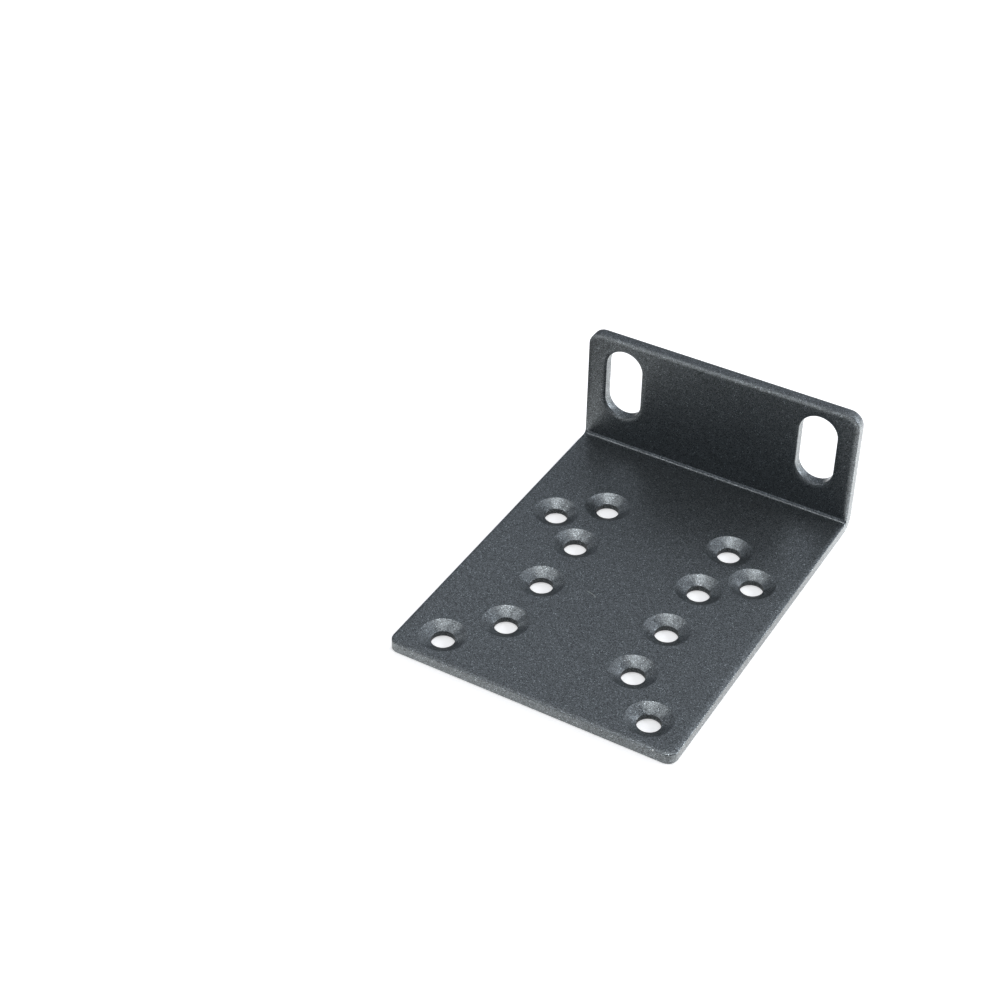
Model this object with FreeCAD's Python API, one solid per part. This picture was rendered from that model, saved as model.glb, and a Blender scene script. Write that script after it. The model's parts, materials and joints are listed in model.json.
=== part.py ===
import FreeCAD, Part
import math
import os

# Rack mount ear bracket: one piece of sheet steel, punched, countersunk, folded once
# and powder coated. The rack flange stands up at one end of the side plate.
# X runs along the fold, +Y leaves the flange's outer face, and +Z is up, with the plate
# lying flat. The origin is under the centre of the whole part. Sizes are in millimetres.

# Sheet
sheet_thickness = 1.75
inside_bend_radius = 0.5
outline_edge_radius = 0.15
punched_edge_break = 0.1

# Rack flange, with two upright slots
slot_spacing = 31.75
slot_width = 6.0
slot_length = 11.8
slot_side_margin = 3.15
slot_top_margin = 1.95
slot_above_plate = 5.05
flange_corner_radius = 2.25

# Side plate, with countersunk holes in mirrored columns
plate_corner_radius = 1.6
hole_diameter = 3.4
countersink_diameter = 6.8
countersink_depth = 0.85
first_row_from_flange = 14.9
inner_row_pitch = 10.0
inner_row_count = 4
outer_row_setback = 5.0
outer_row_spacing = 32.0
outer_column_margin = 6.025
column_step = 6.0
free_end_margin = 4.85

# Sizes that follow from the ones above
ear_width = slot_spacing + slot_width + 2 * slot_side_margin
flange_height = sheet_thickness + slot_above_plate + slot_length + slot_top_margin
outer_row_reach = outer_row_setback + outer_row_spacing
plate_length = sheet_thickness + first_row_from_flange + outer_row_reach + free_end_margin
outside_bend_radius = inside_bend_radius + sheet_thickness

half_width = ear_width / 2
flange_outer_y = plate_length / 2
flange_inner_y = flange_outer_y - sheet_thickness
free_end_y = -plate_length / 2
slot_centre_z = sheet_thickness + slot_above_plate + slot_length / 2
first_row_y = flange_inner_y - first_row_from_flange
outer_column_x = half_width - outer_column_margin
inner_column_x = outer_column_x - column_step

# A cutter reaches this far past the face that it starts from
cutter_overrun = 1.0

# Faces that meet at less than this angle run smoothly into each other
smooth_joint_angle = math.radians(5)

# Two places nearer than this are the same place
same_place = 1e-4


def section_point(y, z):
    """A corner of the folded section, on the left end of the bracket."""
    return FreeCAD.Vector(-half_width, y, z)


def bend_arc(radius):
    """A quarter circle of the fold, from the plate up to the flange."""
    centre_y = flange_outer_y - outside_bend_radius
    centre_z = outside_bend_radius
    diagonal = radius * math.sqrt(0.5)
    start = section_point(centre_y, centre_z - radius)
    middle = section_point(centre_y + diagonal, centre_z - diagonal)
    end = section_point(centre_y + radius, centre_z)
    return Part.Arc(start, middle, end).toShape()


def folded_sheet():
    """The L-shaped section with its round fold, as wide as the bracket."""
    outer_fold = bend_arc(outside_bend_radius)
    inner_fold = bend_arc(inside_bend_radius)
    plate_underside = section_point(free_end_y, 0)
    plate_top = section_point(free_end_y, sheet_thickness)
    flange_top_outer = section_point(flange_outer_y, flange_height)
    flange_top_inner = section_point(flange_inner_y, flange_height)
    outline = Part.Wire([
        Part.makeLine(plate_underside, outer_fold.valueAt(outer_fold.FirstParameter)),
        outer_fold,
        Part.makeLine(outer_fold.valueAt(outer_fold.LastParameter), flange_top_outer),
        Part.makeLine(flange_top_outer, flange_top_inner),
        Part.makeLine(flange_top_inner, inner_fold.valueAt(inner_fold.LastParameter)),
        inner_fold,
        Part.makeLine(inner_fold.valueAt(inner_fold.FirstParameter), plate_top),
        Part.makeLine(plate_top, plate_underside),
    ])
    return Part.Face(outline).extrude(FreeCAD.Vector(ear_width, 0, 0))


def short_edges_at(solid, axis, place):
    """The edges through the sheet's thickness at both side ends of one of its end faces."""
    return [
        edge
        for edge in solid.Edges
        if all(abs(vertex.Point[axis] - place) < same_place for vertex in edge.Vertexes)
        and edge.Length < ear_width - same_place
    ]


def round_sheet_corners(sheet):
    """The plate's free corners and the flange's upper corners, rounded in the flat blank."""
    y_axis, z_axis = 1, 2
    plate_corners = short_edges_at(sheet, y_axis, free_end_y)
    sheet = sheet.makeFillet(plate_corner_radius, plate_corners)
    flange_corners = short_edges_at(sheet, z_axis, flange_height)
    return sheet.makeFillet(flange_corner_radius, flange_corners)


def screw_bore(x, y):
    """A cutter for one screw's clearance hole."""
    height = sheet_thickness + 2 * cutter_overrun
    foot = FreeCAD.Vector(x, y, -cutter_overrun)
    return Part.makeCylinder(hole_diameter / 2, height, foot)


def countersink(x, y):
    """A cutter for one screw head's shallow cone, which widens on past the top face."""
    floor_radius = hole_diameter / 2
    growth_per_height = (countersink_diameter / 2 - floor_radius) / countersink_depth
    height = countersink_depth + cutter_overrun
    mouth_radius = floor_radius + growth_per_height * height
    floor = FreeCAD.Vector(x, y, sheet_thickness - countersink_depth)
    return Part.makeCone(floor_radius, mouth_radius, height, floor)


def rack_slot(x):
    """A cutter for one upright rack slot: two straight sides between half rounds."""
    start_y = flange_inner_y - cutter_overrun
    depth = sheet_thickness + 2 * cutter_overrun
    half_slot = slot_width / 2
    half_straight = slot_length / 2 - half_slot

    def rim_point(along_x, along_z):
        return FreeCAD.Vector(x + along_x, start_y, slot_centre_z + along_z)

    top = rim_point(0, slot_length / 2)
    bottom = rim_point(0, -slot_length / 2)
    upper_left = rim_point(-half_slot, half_straight)
    upper_right = rim_point(half_slot, half_straight)
    lower_left = rim_point(-half_slot, -half_straight)
    lower_right = rim_point(half_slot, -half_straight)
    outline = Part.Wire([
        Part.makeLine(lower_left, upper_left),
        Part.Arc(upper_left, top, upper_right).toShape(),
        Part.makeLine(upper_right, lower_right),
        Part.Arc(lower_right, bottom, lower_left).toShape(),
    ])
    return Part.Face(outline).extrude(FreeCAD.Vector(0, depth, 0))


def hole_places():
    """The screw holes: four rows in the inner columns, two rows in the outer columns."""
    inner_rows = [first_row_y - row * inner_row_pitch for row in range(inner_row_count)]
    outer_rows = [first_row_y - outer_row_setback, first_row_y - outer_row_reach]
    places = []
    for side in (-1, 1):
        places += [(side * inner_column_x, y) for y in inner_rows]
        places += [(side * outer_column_x, y) for y in outer_rows]
    return places


def sharp_edges(solid):
    """The edges where two faces meet at an angle."""
    found = []
    for edge in solid.Edges:
        middle = edge.valueAt((edge.FirstParameter + edge.LastParameter) / 2)
        sides = solid.ancestorsOfType(edge, Part.Face)
        if len(sides) != 2:
            continue
        normals = [side.normalAt(*side.Surface.parameter(middle)) for side in sides]
        if normals[0].getAngle(normals[1]) > smooth_joint_angle:
            found.append(edge)
    return found


def ear_bracket():
    """The whole bracket: softened outline, punched and deburred openings, then countersinks."""
    sheet = round_sheet_corners(folded_sheet())
    softened = sheet.makeFillet(outline_edge_radius, sharp_edges(sheet))
    punches = [rack_slot(side * slot_spacing / 2) for side in (-1, 1)]
    punches += [screw_bore(x, y) for x, y in hole_places()]
    punched = softened.cut(punches)
    deburred = punched.makeChamfer(punched_edge_break, sharp_edges(punched))
    return deburred.cut([countersink(x, y) for x, y in hole_places()])


os.makedirs("parts", exist_ok=True)
ear_bracket().exportStep("parts/ear_bracket.step")
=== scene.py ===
"""Rack mount ear bracket: the folded sheet, its powder coat, and a plain studio around it.

Everything is in metres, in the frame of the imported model: X runs along the fold, +Y leaves the
rack flange's outer face, and +Z is up, with the side plate lying on the floor.
"""

import json
import math
from functools import partial

import bmesh
import bpy
from mathutils import Matrix, Quaternion, Vector


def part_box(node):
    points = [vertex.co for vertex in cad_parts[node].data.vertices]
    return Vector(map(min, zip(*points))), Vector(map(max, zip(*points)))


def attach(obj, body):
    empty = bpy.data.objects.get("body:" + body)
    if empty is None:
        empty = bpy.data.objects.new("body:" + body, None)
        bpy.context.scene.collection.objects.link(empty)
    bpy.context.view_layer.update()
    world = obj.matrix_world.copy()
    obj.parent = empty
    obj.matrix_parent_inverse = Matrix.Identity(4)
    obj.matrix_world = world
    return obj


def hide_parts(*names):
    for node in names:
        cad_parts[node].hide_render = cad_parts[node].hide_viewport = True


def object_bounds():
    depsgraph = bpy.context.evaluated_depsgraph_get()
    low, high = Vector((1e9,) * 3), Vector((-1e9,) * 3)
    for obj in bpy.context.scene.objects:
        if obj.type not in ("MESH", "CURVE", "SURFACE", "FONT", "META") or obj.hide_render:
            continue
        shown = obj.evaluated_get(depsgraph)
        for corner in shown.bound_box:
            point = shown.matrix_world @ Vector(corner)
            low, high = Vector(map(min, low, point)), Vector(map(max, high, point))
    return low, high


bl_info = {
    "name": "Rack Mount Ear Bracket",
    "version": (1, 0, 0),
    "blender": (4, 5, 0),
    "location": "3D View > Sidebar > Ear Bracket",
    "description": "A folded, punched and powder coated ear bracket for rack equipment",
    "category": "Add Mesh",
}

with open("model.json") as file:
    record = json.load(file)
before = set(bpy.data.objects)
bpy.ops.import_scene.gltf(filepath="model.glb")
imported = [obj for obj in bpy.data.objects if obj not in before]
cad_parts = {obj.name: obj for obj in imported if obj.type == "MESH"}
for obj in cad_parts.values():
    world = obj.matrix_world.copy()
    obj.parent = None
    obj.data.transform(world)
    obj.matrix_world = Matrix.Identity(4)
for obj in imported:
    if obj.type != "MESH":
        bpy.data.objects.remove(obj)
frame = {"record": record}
cad_low, cad_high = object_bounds()

NODE = "ear_bracket"
BODY = "root"

MILLIMETRE = 0.001
AXIS_X = Vector((1, 0, 0))
AXIS_Y = Vector((0, 1, 0))
AXIS_Z = Vector((0, 0, 1))
QUARTER_TURN = math.radians(90)
HALF_TURN = math.radians(180)
FULL_TURN = math.radians(360)

# How finely each rounding is divided
EDGE_STEPS = 5
ROLL_STEPS = 6
SEAT_EDGE_STEPS = 3
CORNER_STEPS = 16
FOLD_STEPS = 14
HOLE_STEPS = 72
SLOT_END_STEPS = 36

# Two places closer than this are the same place
SAME_PLACE = 0.0001 * MILLIMETRE

# The chance of a grain above which it starts to turn into a pale speck
SPECK_CHANCE = 0.97
# The coat's sandy relief: its width in grains, and the detail and roughness of its noise
RELIEF_WIDTH = 2.2
RELIEF_DETAIL = 1
RELIEF_ROUGHNESS = 0.6
# A hair of lint that lies on the plate as a short piece of a circle. It fades out between two
# distances from its middle.
LINT_CENTRE = (-3.50 * MILLIMETRE, -9.23 * MILLIMETRE, 1.75 * MILLIMETRE)
LINT_RADIUS = 3.27 * MILLIMETRE
LINT_WIDTH = 0.08 * MILLIMETRE
LINT_MIDDLE = (-2.51 * MILLIMETRE, -6.11 * MILLIMETRE, 1.75 * MILLIMETRE)
LINT_FADE = (1.15 * MILLIMETRE, 0.75 * MILLIMETRE)
LINT_COLOUR = (0.58, 0.62, 0.57)
# A bright chip and a dark pit on the free end
CHIP_PLACE = (19.0 * MILLIMETRE, -29.25 * MILLIMETRE, 1.62 * MILLIMETRE)
CHIP_REACH = 0.22 * MILLIMETRE
PIT_PLACE = (-19.15 * MILLIMETRE, -29.25 * MILLIMETRE, 1.2 * MILLIMETRE)
PIT_REACH = 0.25 * MILLIMETRE
PIT_LEVEL = 0.01

FLOOR_WIDTH = 6.0
# The floor is this far below the bracket, so that their faces don't share one plane
FLOOR_GAP = 0.02 * MILLIMETRE
# The floor turns dim under the plate, as painted shade, over this distance from the plate's edge
UNDER_PLATE_FADE = 0.5 * MILLIMETRE
# How much the floor glows for the camera, besides its lit part: under the plate, in the open,
# and far from the lamps. The lower glow under the plate is painted shade, seen through the holes.
# The last pair is the distances where near starts to turn into far and where it has.
UNDER_PLATE_GLOW = 0.42
OPEN_GLOW = 0.6
FAR_GLOW = 1.0
FAR_FADE = (0.3, 1.5)

# The coat's painted reflections: it mirrors a floor, seen only by its glossy rays, that is
# brighter in some places than in others. Each pair is where one change starts and where it ends.
# Across the
# bracket, along X: the dim left ends, the right side starts at the plate's edge and ends close
# by, and the front goes from left to right.
LEFT_FADE = (-35 * MILLIMETRE, -20 * MILLIMETRE)
RIGHT_START = (21.5 * MILLIMETRE, 22.1 * MILLIMETRE)
RIGHT_END = (27 * MILLIMETRE, 23.5 * MILLIMETRE)
FRONT_FADE = (-22 * MILLIMETRE, 22 * MILLIMETRE)
# Along the bracket, along Y: the right side grows brighter and wider towards the flange, the
# back starts behind the flange, the front starts at the free end, and a bright strip lies
# farther in front.
RIGHT_FADE = (8 * MILLIMETRE, 34 * MILLIMETRE)
BACK_START = (29.5 * MILLIMETRE, 34 * MILLIMETRE)
FRONT_START = (-29.0 * MILLIMETRE, -29.3 * MILLIMETRE)
STRIP_START = (-33 * MILLIMETRE, -36 * MILLIMETRE)
STRIP_END = (-50 * MILLIMETRE, -85 * MILLIMETRE)
# How bright the coat mirrors each part of the floor in its painted reflections, where 1 is white
MIRRORED_DIM = 0.22
MIRRORED_PALE = 0.98
MIRRORED_BACK = 1.75
MIRRORED_RIGHT = 1.6
MIRRORED_RIGHT_BACK = 2.35
MIRRORED_FRONT_LEFT = 1.13
MIRRORED_FRONT_RIGHT = 0.94
MIRRORED_STRIP = 2.3

# The sensor's width in millimetres, and the nearest thing that the camera sees
SENSOR_WIDTH = 36
NEAREST_SEEN = 10 * MILLIMETRE

SOFTBOX_DISTANCE = 0.8
WIDE = 0.36
NARROW = 0.25
PLAIN = (1.0, 1.0, 1.0)
COOL = (0.97, 1.0, 1.05)
# Name, azimuth and elevation in degrees, width, power in watts, and colour
SOFTBOXES = (
    ("overhead_softbox", 0, 88, WIDE, 1.6, PLAIN),
    ("high_left_softbox", 290, 55, NARROW, 0.58, PLAIN),
    ("low_left_softbox", 255, 18, NARROW, 0.2, PLAIN),
    ("left_back_softbox", 225, 40, WIDE, 0.17, COOL),
    ("back_softbox", 180, 40, WIDE, 0.2, COOL),
    ("high_back_softbox", 180, 65, WIDE, 0.12, COOL),
    ("low_back_softbox", 180, 14, WIDE, 0.2, COOL),
    ("high_right_back_softbox", 150, 60, NARROW, 0.27, COOL),
    ("right_back_softbox", 150, 25, NARROW, 0.38, COOL),
    ("right_softbox", 120, 25, NARROW, 3.2, COOL),
    ("low_front_softbox", 345, 6, NARROW, 0.32, COOL),
)


class BracketSizes(bpy.types.PropertyGroup):
    """Sizes of the sheet. Its outline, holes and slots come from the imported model."""

    sheet_thickness: bpy.props.FloatProperty(
        name="Sheet Thickness",
        description="Thickness of the sheet with its coat",
        default=1.75 * MILLIMETRE,
        unit="LENGTH",
    )
    inside_bend_radius: bpy.props.FloatProperty(
        name="Inside Bend Radius",
        description="Inside radius of the fold between the plate and the flange",
        default=0.5 * MILLIMETRE,
        unit="LENGTH",
    )
    plate_corner_radius: bpy.props.FloatProperty(
        name="Plate Corner Radius",
        description="Radius of the plate's two free corners",
        default=1.6 * MILLIMETRE,
        unit="LENGTH",
    )
    flange_corner_radius: bpy.props.FloatProperty(
        name="Flange Corner Radius",
        description="Radius of the flange's two upper corners",
        default=2.25 * MILLIMETRE,
        unit="LENGTH",
    )
    edge_radius: bpy.props.FloatProperty(
        name="Edge Radius",
        description="Rounding of the coat over every punched edge",
        default=0.15 * MILLIMETRE,
        unit="LENGTH",
    )
    roll_radius: bpy.props.FloatProperty(
        name="Roll Radius",
        description="Radius of the gentle roll that punching leaves along the inner side's edges",
        default=2.5 * MILLIMETRE,
        unit="LENGTH",
    )
    roll_angle: bpy.props.FloatProperty(
        name="Roll Angle",
        description="How far the roll leans away from the sheet's face before the edge",
        default=math.radians(18),
        subtype="ANGLE",
    )
    seat_diameter: bpy.props.FloatProperty(
        name="Seat Diameter",
        description="Diameter of the countersunk seat round each screw hole",
        default=6.8 * MILLIMETRE,
        unit="LENGTH",
    )
    seat_depth: bpy.props.FloatProperty(
        name="Seat Depth",
        description="Depth of the countersunk seat round each screw hole",
        default=0.85 * MILLIMETRE,
        unit="LENGTH",
    )
    seat_edge_radius: bpy.props.FloatProperty(
        name="Seat Edge Radius",
        description="Rounding where a seat meets the bore and the plate's top face",
        default=0.06 * MILLIMETRE,
        unit="LENGTH",
    )


class CoatLook(bpy.types.PropertyGroup):
    """Colours, grain and shine of the powder coat."""

    dark_colour: bpy.props.FloatVectorProperty(
        name="Dark Colour",
        description="Colour of the coat's darkest grains",
        default=(0.080, 0.087, 0.091),
        subtype="COLOR",
        min=0,
        max=1,
    )
    pale_colour: bpy.props.FloatVectorProperty(
        name="Pale Colour",
        description="Colour of the coat's palest grains",
        default=(0.277, 0.302, 0.315),
        subtype="COLOR",
        min=0,
        max=1,
    )
    speck_colour: bpy.props.FloatVectorProperty(
        name="Speck Colour",
        description="Colour of the few grains that stand out as pale specks",
        default=(0.72, 0.80, 0.84),
        subtype="COLOR",
        min=0,
        max=1,
    )
    chip_colour: bpy.props.FloatVectorProperty(
        name="Chip Colour",
        description="Colour of the small bright chip on the free end",
        default=(0.9, 0.92, 0.9),
        subtype="COLOR",
        min=0,
        max=1,
    )
    grain_size: bpy.props.FloatProperty(
        name="Grain Size",
        description="Width of one grain of the coat",
        default=0.085 * MILLIMETRE,
        unit="LENGTH",
    )
    grain_depth: bpy.props.FloatProperty(
        name="Grain Depth",
        description="Height of the sandy relief of the coat",
        default=0.015 * MILLIMETRE,
        unit="LENGTH",
    )
    metal: bpy.props.FloatProperty(
        name="Metal",
        description="Share of metal flakes in the coat",
        default=0.9,
        subtype="FACTOR",
        min=0,
        max=1,
    )
    roughness: bpy.props.FloatProperty(
        name="Roughness",
        description="Roughness of the coat between its grains",
        default=0.36,
        subtype="FACTOR",
        min=0,
        max=1,
    )
    refraction: bpy.props.FloatProperty(
        name="Refraction",
        description="Index of refraction of the coat between its flakes",
        default=1.8,
    )


class StudioLook(bpy.types.PropertyGroup):
    """Camera, lamps and floor."""

    lens: bpy.props.FloatProperty(
        name="Lens",
        description="Focal length for a 36 mm wide sensor",
        default=74.083,
        unit="CAMERA",
    )
    camera_azimuth: bpy.props.FloatProperty(
        name="Camera Azimuth",
        description="Turn of the camera from -Y towards +X",
        default=math.radians(30.046),
        subtype="ANGLE",
    )
    camera_elevation: bpy.props.FloatProperty(
        name="Camera Elevation",
        description="Height of the camera above the horizon",
        default=math.radians(38.117),
        subtype="ANGLE",
    )
    camera_roll: bpy.props.FloatProperty(
        name="Camera Roll",
        description="Turn of the camera about its own line of sight",
        default=math.radians(0.757),
        subtype="ANGLE",
    )
    camera_distance: bpy.props.FloatProperty(
        name="Camera Distance",
        description="Distance from the camera to the place on the floor that it looks at",
        default=310.812 * MILLIMETRE,
        unit="LENGTH",
    )
    camera_target: bpy.props.FloatVectorProperty(
        name="Camera Target",
        description="The place on the floor that the camera looks at",
        default=(-25.680 * MILLIMETRE, 7.588 * MILLIMETRE, 0),
        subtype="TRANSLATION",
    )
    world_colour: bpy.props.FloatVectorProperty(
        name="World Colour",
        description="Colour of the soft light from all round",
        default=(0.136, 0.15, 0.174),
        subtype="COLOR",
        min=0,
        max=1,
    )
    floor_colour: bpy.props.FloatVectorProperty(
        name="Floor Colour",
        description="Colour of the plain floor",
        default=(0.85, 0.85, 0.85),
        subtype="COLOR",
        min=0,
        max=1,
    )


class Pen:
    """Carries a front of mesh parts along a path and leaves edges or faces behind it."""

    def __init__(self, mesh, front, place, heading, turning_axis):
        self.mesh = mesh
        self.front = front
        self.place = Vector(place)
        self.heading = Vector(heading)
        self.turning_axis = Vector(turning_axis)

    def spin(self, centre, angle, shift, steps, closes=False):
        """Carries the front round the turning axis, or along a shift, in equal steps."""
        spun = bmesh.ops.spin(
            self.mesh,
            geom=self.front,
            cent=centre,
            axis=self.turning_axis,
            dvec=shift,
            angle=angle,
            steps=steps,
            use_merge=closes,
            use_duplicate=False,
        )
        self.front = spun["geom_last"]

    def forward(self, distance):
        """Goes straight on."""
        shift = self.heading * distance
        self.spin(self.place, 0, shift, 1)
        self.place += shift

    def turn(self, radius, angle, steps):
        """Goes along an arc, to the left about the turning axis where the angle is positive."""
        to_left = self.turning_axis.cross(self.heading)
        centre = self.place + to_left * math.copysign(radius, angle)
        self.spin(centre, angle, Vector(), steps)
        rotation = Matrix.Rotation(angle, 3, self.turning_axis)
        self.place = centre + rotation @ (self.place - centre)
        self.heading = rotation @ self.heading


class Bracket:
    """The bracket's mesh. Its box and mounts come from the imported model."""

    def __init__(self, sizes):
        self.mesh = bmesh.new()
        self.sizes = sizes
        self.low, self.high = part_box(NODE)
        self.outside_bend_radius = sizes.inside_bend_radius + sizes.sheet_thickness
        self.fold_y = self.high.y - self.outside_bend_radius
        self.fold_z = self.low.z + self.outside_bend_radius

    def draw_section(self, place, heading, turning_axis, strokes):
        """Draws the section of a wall from one vertex. Returns its vertices and edges."""
        first = self.mesh.verts.new(place)
        known = set(self.mesh.edges)
        pen = Pen(self.mesh, [first], place, heading, turning_axis)
        strokes(pen)
        edges = [edge for edge in self.mesh.edges if edge not in known]
        vertices = {vertex for edge in edges for vertex in edge.verts}
        return list(vertices) + edges

    def cut_edge(self, pen):
        """Goes from the outer side across the thickness, and over the roll on the inner side."""
        sizes = self.sizes
        rounding = sizes.edge_radius * (1 + math.cos(sizes.roll_angle))
        roll_depth = sizes.roll_radius * (1 - math.cos(sizes.roll_angle))
        pen.turn(sizes.edge_radius, QUARTER_TURN, EDGE_STEPS)
        pen.forward(sizes.sheet_thickness - rounding - roll_depth)
        pen.turn(sizes.edge_radius, QUARTER_TURN - sizes.roll_angle, EDGE_STEPS)
        pen.turn(sizes.roll_radius, sizes.roll_angle, ROLL_STEPS)

    def sweep_outline(self):
        """Carries the cut edge's section round the outline of the folded sheet."""
        sizes, low, high = self.sizes, self.low, self.high
        section_start = (low.x + sizes.edge_radius, self.fold_y, low.z)
        section = self.draw_section(section_start, -AXIS_X, AXIS_Y, self.cut_edge)
        flange_corner = sizes.flange_corner_radius
        plate_corner = sizes.plate_corner_radius
        flange_side = high.z - self.fold_z - flange_corner
        flange_top = high.x - low.x - 2 * flange_corner
        plate_side = self.fold_y - low.y - plate_corner
        free_end = high.x - low.x - 2 * plate_corner
        pen = Pen(self.mesh, section, (low.x, self.fold_y, low.z), AXIS_Y, AXIS_X)
        pen.turn(self.outside_bend_radius, QUARTER_TURN, FOLD_STEPS)
        pen.forward(flange_side)
        pen.turning_axis = AXIS_Y
        pen.turn(flange_corner, QUARTER_TURN, CORNER_STEPS)
        pen.forward(flange_top)
        pen.turn(flange_corner, QUARTER_TURN, CORNER_STEPS)
        pen.forward(flange_side)
        pen.turning_axis = -AXIS_X
        pen.turn(self.outside_bend_radius, QUARTER_TURN, FOLD_STEPS)
        pen.forward(plate_side)
        pen.turning_axis = -AXIS_Z
        pen.turn(plate_corner, QUARTER_TURN, CORNER_STEPS)
        pen.forward(free_end)
        pen.turn(plate_corner, QUARTER_TURN, CORNER_STEPS)
        pen.forward(plate_side)

    def bore_and_seat(self, bore_radius, pen):
        """Goes up the bore from the underside and out along the conical seat."""
        sizes = self.sizes
        seat_run = sizes.seat_diameter / 2 - bore_radius
        seat_slope = math.atan2(sizes.seat_depth, seat_run)
        seat_length = math.hypot(sizes.seat_depth, seat_run)
        bend_at_bore = QUARTER_TURN - seat_slope
        bore_trim = sizes.seat_edge_radius * math.tan(bend_at_bore / 2)
        rim_trim = sizes.seat_edge_radius * math.tan(seat_slope / 2)
        land = sizes.sheet_thickness - sizes.seat_depth
        pen.turn(sizes.edge_radius, QUARTER_TURN, EDGE_STEPS)
        pen.forward(land - sizes.edge_radius - bore_trim)
        pen.turn(sizes.seat_edge_radius, bend_at_bore, SEAT_EDGE_STEPS)
        pen.forward(seat_length - bore_trim - rim_trim)
        pen.turn(sizes.seat_edge_radius, seat_slope, SEAT_EDGE_STEPS)

    def drill(self, x, y, bore_radius):
        """Turns one screw hole's wall all the way round."""
        start = (x + bore_radius + self.sizes.edge_radius, y, self.low.z)
        wall = partial(self.bore_and_seat, bore_radius)
        section = self.draw_section(start, -AXIS_X, AXIS_Y, wall)
        pen = Pen(self.mesh, section, start, AXIS_Y, AXIS_Z)
        pen.spin((x, y, 0), FULL_TURN, Vector(), HOLE_STEPS, closes=True)

    def drill_pattern(self, mount):
        """Drills the four holes at the corners of one mount's pattern."""
        dims = mount["dims"]
        x, y, _ = mount["pos_m"]
        across = dims["spacing_x_mm"] * MILLIMETRE / 2
        along = dims["spacing_y_mm"] * MILLIMETRE / 2
        for hole_x in (x - across, x + across):
            for hole_y in (y - along, y + along):
                self.drill(hole_x, hole_y, dims["hole_r_mm"] * MILLIMETRE)

    def punch_slot(self, mount):
        """Carries the cut edge's section round one upright rack slot."""
        half_width = mount["dims"]["hole_r_mm"] * MILLIMETRE
        straight = mount["dims"]["slot_length_mm"] * MILLIMETRE - 2 * half_width
        x, _, z = mount["pos_m"]
        wall_x = x + half_width
        low_z = z - straight / 2
        section_start = (wall_x + self.sizes.edge_radius, self.high.y, low_z)
        section = self.draw_section(section_start, -AXIS_X, AXIS_Z, self.cut_edge)
        pen = Pen(self.mesh, section, (wall_x, self.high.y, low_z), AXIS_Z, -AXIS_Y)
        for _ in range(2):
            pen.forward(straight)
            pen.turn(half_width, HALF_TURN, SLOT_END_STEPS)

    def merge_ends(self):
        """Joins the places where a wall has come back to its start."""
        bmesh.ops.remove_doubles(self.mesh, verts=self.mesh.verts, dist=SAME_PLACE)

    def open_edges(self, belongs):
        """The edges of the mesh with one face, at whose ends a test holds."""
        return [
            edge
            for edge in self.mesh.edges
            if edge.is_boundary and all(belongs(vertex.co) for vertex in edge.verts)
        ]

    def skin_fold(self, radius):
        """Spans the fold's curved face of one radius from side to side."""

        def on_fold(place):
            y, z = place.y - self.fold_y, place.z - self.fold_z
            in_quarter = y > -SAME_PLACE and z < SAME_PLACE
            return in_quarter and abs(math.hypot(y, z) - radius) < SAME_PLACE

        bmesh.ops.bridge_loops(self.mesh, edges=self.open_edges(on_fold))

    def skin_flat(self, place, normal):
        """Fills one flat face of the sheet, round its holes."""

        def on_face(other):
            return abs((other - place).dot(normal)) < SAME_PLACE

        bmesh.ops.triangle_fill(
            self.mesh, edges=self.open_edges(on_face), normal=normal, use_beauty=True
        )

    def close_skins(self):
        """Closes the two folded faces between the walls."""
        thickness = self.sizes.sheet_thickness
        self.skin_fold(self.outside_bend_radius)
        self.skin_fold(self.sizes.inside_bend_radius)
        self.skin_flat(self.low, -AXIS_Z)
        self.skin_flat(self.low + thickness * AXIS_Z, AXIS_Z)
        self.skin_flat(self.high, AXIS_Y)
        self.skin_flat(self.high - thickness * AXIS_Y, -AXIS_Y)

    def finish(self, name):
        """The mesh, smooth, with its faces outward. An open seam is an error."""
        if not all(edge.is_manifold for edge in self.mesh.edges):
            raise RuntimeError("The bracket's surface isn't closed")
        bmesh.ops.recalc_face_normals(self.mesh, faces=self.mesh.faces)
        for face in self.mesh.faces:
            face.smooth = True
        finished = bpy.data.meshes.new(name)
        self.mesh.to_mesh(finished)
        self.mesh.free()
        return finished


def bracket_mesh(sizes, name):
    """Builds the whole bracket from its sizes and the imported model's mounts."""
    bracket = Bracket(sizes)
    bracket.sweep_outline()
    for mount in frame["record"]["mounts"]:
        if mount["name"].startswith("plate_holes"):
            bracket.drill_pattern(mount)
        if mount["name"].startswith("rack_slot"):
            bracket.punch_slot(mount)
    bracket.merge_ends()
    bracket.close_skins()
    return bracket.finish(name)


class Wire:
    """The output of a node. An expression on outputs that are numbers adds its Math nodes."""

    def __init__(self, board, socket):
        self.board = board
        self.socket = socket

    def __sub__(self, other):
        return self.board.math("SUBTRACT", self, other)

    def __rsub__(self, other):
        return self.board.math("SUBTRACT", other, self)

    def __mul__(self, other):
        return self.board.math("MULTIPLY", self, other)

    def __rmul__(self, other):
        return self.board.math("MULTIPLY", other, self)


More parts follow.
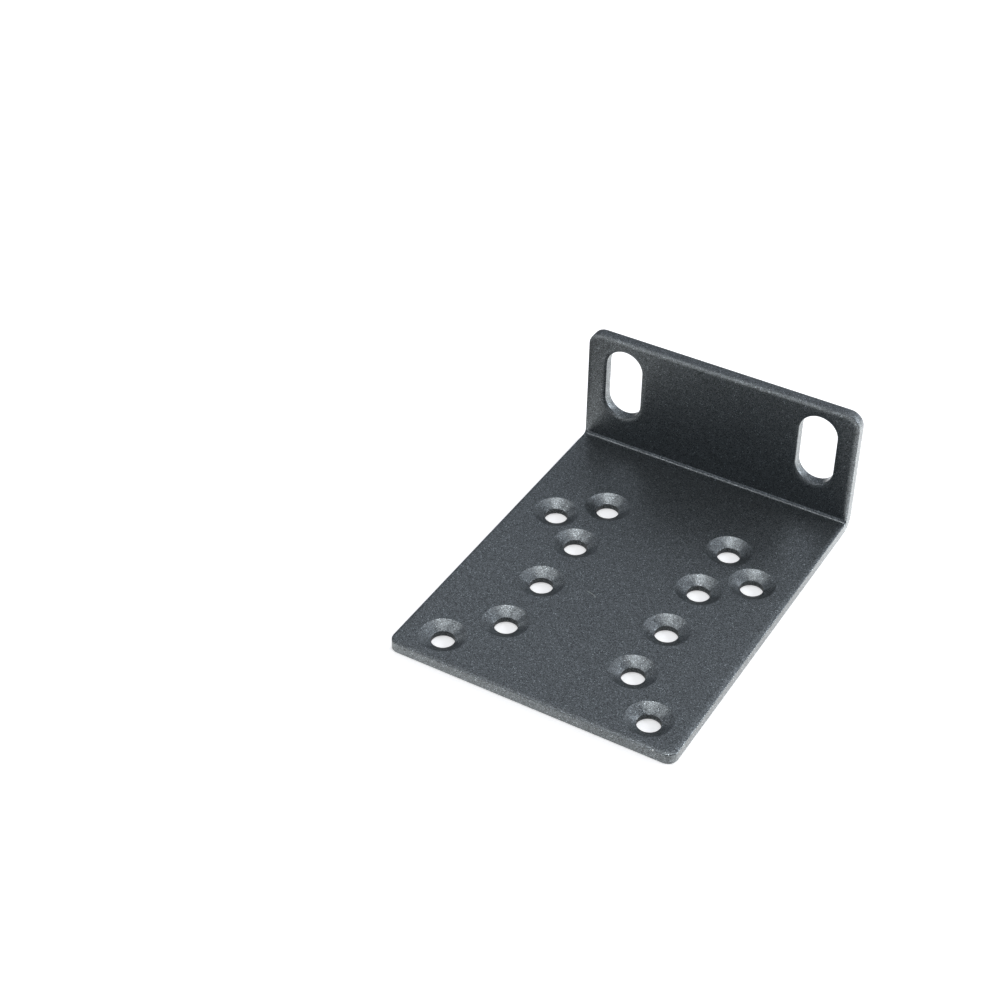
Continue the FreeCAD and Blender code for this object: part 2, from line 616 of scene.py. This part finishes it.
class Board:
    """A node tree that is being filled."""

    def __init__(self, tree):
        self.tree = tree
        tree.nodes.clear()

    def add(self, kind, output, settings=None, inputs=None):
        """Adds a node: its settings first, then the values or links of its sockets.

        Sockets go by their identifiers. Returns the named output as a wire.
        """
        node = self.tree.nodes.new(kind)
        for setting, value in (settings or {}).items():
            setattr(node, setting, value)
        sockets = {socket.identifier: socket for socket in node.inputs}
        for name, value in (inputs or {}).items():
            if isinstance(value, Wire):
                self.tree.links.new(value.socket, sockets[name])
            else:
                sockets[name].default_value = value
        outputs = {socket.identifier: socket for socket in node.outputs}
        return Wire(self, outputs[output]) if output else None

    def math(self, operation, first, second):
        """One Math node."""
        settings = {"operation": operation}
        inputs = {"Value": first, "Value_001": second}
        return self.add("ShaderNodeMath", "Value", settings, inputs)

    def distance(self, place, point):
        """How far a place is from a point."""
        settings = {"operation": "DISTANCE"}
        inputs = {"Vector": place, "Vector_001": point}
        return self.add("ShaderNodeVectorMath", "Value", settings, inputs)

    def absolute(self, value):
        """A number without its sign."""
        return self.add("ShaderNodeMath", "Value", {"operation": "ABSOLUTE"}, {"Value": value})

    def ramp(self, value, low, high):
        """How far a number has gone from one level to another, smoothly from 0 to 1."""
        settings = {"interpolation_type": "SMOOTHSTEP"}
        inputs = {"Value": value, "From Min": low, "From Max": high}
        return self.add("ShaderNodeMapRange", "Result", settings, inputs)

    def mix_colours(self, factor, first, second):
        """A colour between two colours."""
        settings = {"data_type": "RGBA"}
        inputs = {"Factor_Float": factor, "A_Color": first, "B_Color": second}
        return self.add("ShaderNodeMix", "Result_Color", settings, inputs)

    def noise(self, place, grain, detail, roughness):
        """Cloudy noise whose blotches are about one grain wide."""
        inputs = {"Vector": place, "Scale": 1 / grain, "Detail": detail, "Roughness": roughness}
        return self.add("ShaderNodeTexNoise", "Fac", None, inputs)


def opaque(colour):
    """A colour with full alpha."""
    return (*colour, 1)


def grey(level):
    """A plain grey of one level."""
    return opaque((level, level, level))


def coat_material(look):
    """The powder coat: charcoal flakes of many tones, a few pale specks and a sandy relief."""
    material = bpy.data.materials.new("powder_coat")
    material.use_nodes = True
    board = Board(material.node_tree)
    place = board.add("ShaderNodeTexCoord", "Object")
    inputs = {"Vector": place, "Scale": 1 / look.grain_size}
    grain = board.add("ShaderNodeTexVoronoi", "Color", None, inputs)
    chance = board.add("ShaderNodeSeparateColor", "Red", None, {"Color": grain})
    tone = board.ramp(chance, 0, 1)
    speck = board.ramp(chance, SPECK_CHANCE, 1)
    grains = board.mix_colours(tone, opaque(look.dark_colour), opaque(look.pale_colour))
    specked = board.mix_colours(speck, grains, opaque(look.speck_colour))

    from_lint = board.absolute(board.distance(place, LINT_CENTRE) - LINT_RADIUS)
    on_lint = board.ramp(from_lint, LINT_WIDTH, 0)
    along_lint = board.ramp(board.distance(place, LINT_MIDDLE), *LINT_FADE)
    chip = board.ramp(board.distance(place, CHIP_PLACE), CHIP_REACH, 0)
    pit = board.ramp(board.distance(place, PIT_PLACE), PIT_REACH, 0)
    linted = board.mix_colours(on_lint * along_lint, specked, opaque(LINT_COLOUR))
    chipped = board.mix_colours(chip, linted, opaque(look.chip_colour))
    colour = board.mix_colours(pit, chipped, grey(PIT_LEVEL))

    relief_width = RELIEF_WIDTH * look.grain_size
    relief = board.noise(place, relief_width, RELIEF_DETAIL, RELIEF_ROUGHNESS)
    inputs = {"Height": relief, "Distance": look.grain_depth}
    normal = board.add("ShaderNodeBump", "Normal", None, inputs)
    inputs = {
        "Base Color": colour,
        "Metallic": look.metal,
        "Roughness": look.roughness,
        "IOR": look.refraction,
        "Normal": normal,
    }
    coat = board.add("ShaderNodeBsdfPrincipled", "BSDF", None, inputs)
    board.add("ShaderNodeOutputMaterial", None, None, {"Surface": coat})
    return material


def floor_as_seen(board, look, place, in_open):
    """The floor for the camera: its lit part, which holds the shadow, and a glow up to white,
    lower under the plate as painted shade.
    """
    lit = board.add("ShaderNodeBsdfDiffuse", "BSDF", None, {"Color": opaque(look.floor_colour)})
    far_away = board.ramp(board.distance(place, (0, 0, 0)), *FAR_FADE)
    open_glow = board.mix_colours(far_away, grey(OPEN_GLOW), grey(FAR_GLOW))
    # Painted shade: less glow under the plate, where the camera sees the floor through the holes
    level = board.mix_colours(in_open, grey(UNDER_PLATE_GLOW), open_glow)
    seen = board.add("ShaderNodeLightPath", "Is Camera Ray")
    seen_level = board.mix_colours(seen, grey(0), level)
    glow = board.add("ShaderNodeEmission", "Emission", None, {"Color": seen_level, "Strength": 1})
    return board.add("ShaderNodeAddShader", "Shader", None, {"Shader": lit, "Shader_001": glow})


def floor_painted_reflections(board, across, along, in_open):
    """Painted reflections: the floor as the coat mirrors it, brighter in some places than in
    others.
    """
    behind = board.ramp(along, *BACK_START)
    middle = board.mix_colours(behind, grey(MIRRORED_PALE), grey(MIRRORED_BACK))
    past_left = board.ramp(across, *LEFT_FADE)
    left = board.mix_colours(past_left, grey(MIRRORED_DIM), middle)

    towards_flange = board.ramp(along, *RIGHT_FADE)
    beside = board.mix_colours(towards_flange, grey(MIRRORED_RIGHT), grey(MIRRORED_RIGHT_BACK))
    close_by = board.math("MAXIMUM", board.ramp(across, *RIGHT_END), towards_flange)
    right = board.mix_colours(close_by, grey(MIRRORED_PALE), beside)
    past_right = board.ramp(across, *RIGHT_START)
    sides = board.mix_colours(past_right, left, right)

    to_right = board.ramp(across, *FRONT_FADE)
    free_end = board.mix_colours(to_right, grey(MIRRORED_FRONT_LEFT), grey(MIRRORED_FRONT_RIGHT))
    on_strip = board.ramp(along, *STRIP_START) * (1 - board.ramp(along, *STRIP_END))
    front = board.mix_colours(on_strip, free_end, grey(MIRRORED_STRIP))
    past_front = board.ramp(along, *FRONT_START)
    open_level = board.mix_colours(past_front, sides, front)
    # Painted shade: the coat mirrors a dim floor under the plate, which darkens the bore walls
    level = board.mix_colours(in_open, grey(MIRRORED_DIM), open_level)
    return board.add("ShaderNodeEmission", "Emission", None, {"Color": level, "Strength": 1})


def floor_material(look):
    """A pale floor that shows white, keeps the bracket's shadow, is clear from below and gives
    the coat painted reflections.
    """
    material = bpy.data.materials.new("pale_floor")
    material.use_nodes = True
    board = Board(material.node_tree)
    place = board.add("ShaderNodeTexCoord", "Object")
    across = board.add("ShaderNodeSeparateXYZ", "X", None, {"Vector": place})
    along = board.add("ShaderNodeSeparateXYZ", "Y", None, {"Vector": place})
    past_side = board.ramp(board.absolute(across), cad_high[0] - UNDER_PLATE_FADE, cad_high[0])
    past_end = board.ramp(board.absolute(along), cad_high[1] - UNDER_PLATE_FADE, cad_high[1])
    in_open = board.math("MAXIMUM", past_side, past_end)

    seen = floor_as_seen(board, look, place, in_open)
    mirrored = floor_painted_reflections(board, across, along, in_open)
    # The coat's glossy rays see the painted reflections in place of the lit floor
    by_coat = board.add("ShaderNodeLightPath", "Is Glossy Ray")
    inputs = {"Fac": by_coat, "Shader": seen, "Shader_001": mirrored}
    from_above = board.add("ShaderNodeMixShader", "Shader", None, inputs)

    below = board.add("ShaderNodeNewGeometry", "Backfacing")
    clear = board.add("ShaderNodeBsdfTransparent", "BSDF")
    inputs = {"Fac": below, "Shader": from_above, "Shader_001": clear}
    surface = board.add("ShaderNodeMixShader", "Shader", None, inputs)
    board.add("ShaderNodeOutputMaterial", None, None, {"Surface": surface})
    return material


def build_floor(look):
    """A wide flat floor under the bracket."""
    mesh = bmesh.new()
    bmesh.ops.create_grid(
        mesh,
        x_segments=1,
        y_segments=1,
        size=FLOOR_WIDTH / 2,
        matrix=Matrix.Translation(-FLOOR_GAP * AXIS_Z),
    )
    data = bpy.data.meshes.new("floor")
    mesh.to_mesh(data)
    mesh.free()
    data.materials.append(floor_material(look))
    floor = bpy.data.objects.new("floor", data)
    bpy.context.scene.collection.objects.link(floor)


def build_world(look):
    """An even soft light from all round, which shows white behind the floor."""
    world = bpy.data.worlds.new("studio")
    world.use_nodes = True
    board = Board(world.node_tree)
    seen = board.add("ShaderNodeLightPath", "Is Camera Ray")
    colour = board.mix_colours(seen, opaque(look.world_colour), grey(1))
    inputs = {"Color": colour, "Strength": 1}
    background = board.add("ShaderNodeBackground", "Background", None, inputs)
    board.add("ShaderNodeOutputWorld", None, None, {"Surface": background})
    bpy.context.scene.world = world


def direction(azimuth, elevation):
    """The direction of a place seen from the bracket. Azimuth 0 is -Y and 90 degrees is +X."""
    level = math.cos(elevation)
    return Vector((
        math.sin(azimuth) * level,
        -math.cos(azimuth) * level,
        math.sin(elevation),
    ))


def aim(thing, place, target, roll=0):
    """Puts a camera or lamp at a place and turns it to look at a target."""
    away = (place - target).normalized()
    rotation = away.to_track_quat("Z", "Y") @ Quaternion(AXIS_Z, roll)
    thing.matrix_world = Matrix.Translation(place) @ rotation.to_matrix().to_4x4()


def build_camera(look):
    """The camera, at the photograph's viewing angle."""
    data = bpy.data.cameras.new("camera")
    data.lens = look.lens
    data.sensor_width = SENSOR_WIDTH
    data.clip_start = NEAREST_SEEN
    camera = bpy.data.objects.new("camera", data)
    bpy.context.scene.collection.objects.link(camera)
    target = Vector(look.camera_target)
    away = direction(look.camera_azimuth, look.camera_elevation) * look.camera_distance
    aim(camera, target + away, target, look.camera_roll)
    bpy.context.scene.camera = camera


def build_softbox(name, azimuth, elevation, width, power, colour):
    """A square lamp that looks at the bracket."""
    data = bpy.data.lights.new(name, "AREA")
    data.size = width
    data.energy = power
    data.color = colour
    lamp = bpy.data.objects.new(name, data)
    bpy.context.scene.collection.objects.link(lamp)
    place = direction(math.radians(azimuth), math.radians(elevation)) * SOFTBOX_DISTANCE
    aim(lamp, place, Vector())


class EARBRACKET_OT_make_bracket(bpy.types.Operator):
    """Make the folded and coated bracket"""

    bl_idname = "ear_bracket.make_bracket"
    bl_label = "Make Bracket"

    def execute(self, context):
        mesh = bracket_mesh(context.scene.ear_bracket_sizes, "coated_bracket")
        mesh.materials.append(coat_material(context.scene.ear_bracket_coat))
        bracket = bpy.data.objects.new("coated_bracket", mesh)
        context.scene.collection.objects.link(bracket)
        bracket.modifiers.new("Even Shading", "WEIGHTED_NORMAL")
        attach(bracket, BODY)
        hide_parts(NODE)
        return {"FINISHED"}


class EARBRACKET_OT_make_stage(bpy.types.Operator):
    """Make the floor, the lamps and the camera"""

    bl_idname = "ear_bracket.make_stage"
    bl_label = "Make Stage"

    def execute(self, context):
        look = context.scene.ear_bracket_studio
        build_floor(look)
        build_world(look)
        for softbox in SOFTBOXES:
            build_softbox(*softbox)
        build_camera(look)
        context.scene.view_settings.view_transform = "Standard"
        return {"FINISHED"}


class VIEW3D_PT_ear_bracket(bpy.types.Panel):
    """The bracket's operators, in the sidebar"""

    bl_label = "Ear Bracket"
    bl_space_type = "VIEW_3D"
    bl_region_type = "UI"
    bl_category = "Ear Bracket"

    def draw(self, context):
        for operator in OPERATORS:
            self.layout.operator(operator.bl_idname)


OPERATORS = (EARBRACKET_OT_make_bracket, EARBRACKET_OT_make_stage)
SETTINGS = {
    "ear_bracket_sizes": BracketSizes,
    "ear_bracket_coat": CoatLook,
    "ear_bracket_studio": StudioLook,
}
CLASSES = (*SETTINGS.values(), *OPERATORS, VIEW3D_PT_ear_bracket)


def register():
    """Registers the settings, the operators and the panel."""
    for registered in CLASSES:
        bpy.utils.register_class(registered)
    for name, group in SETTINGS.items():
        setattr(bpy.types.Scene, name, bpy.props.PointerProperty(type=group))


def unregister():
    """Takes back what register has done."""
    for name in SETTINGS:
        delattr(bpy.types.Scene, name)
    for registered in reversed(CLASSES):
        bpy.utils.unregister_class(registered)


def main():
    """Makes the bracket and its stage."""
    register()
    bpy.ops.ear_bracket.make_bracket()
    bpy.ops.ear_bracket.make_stage()


if __name__ == "__main__":
    main()
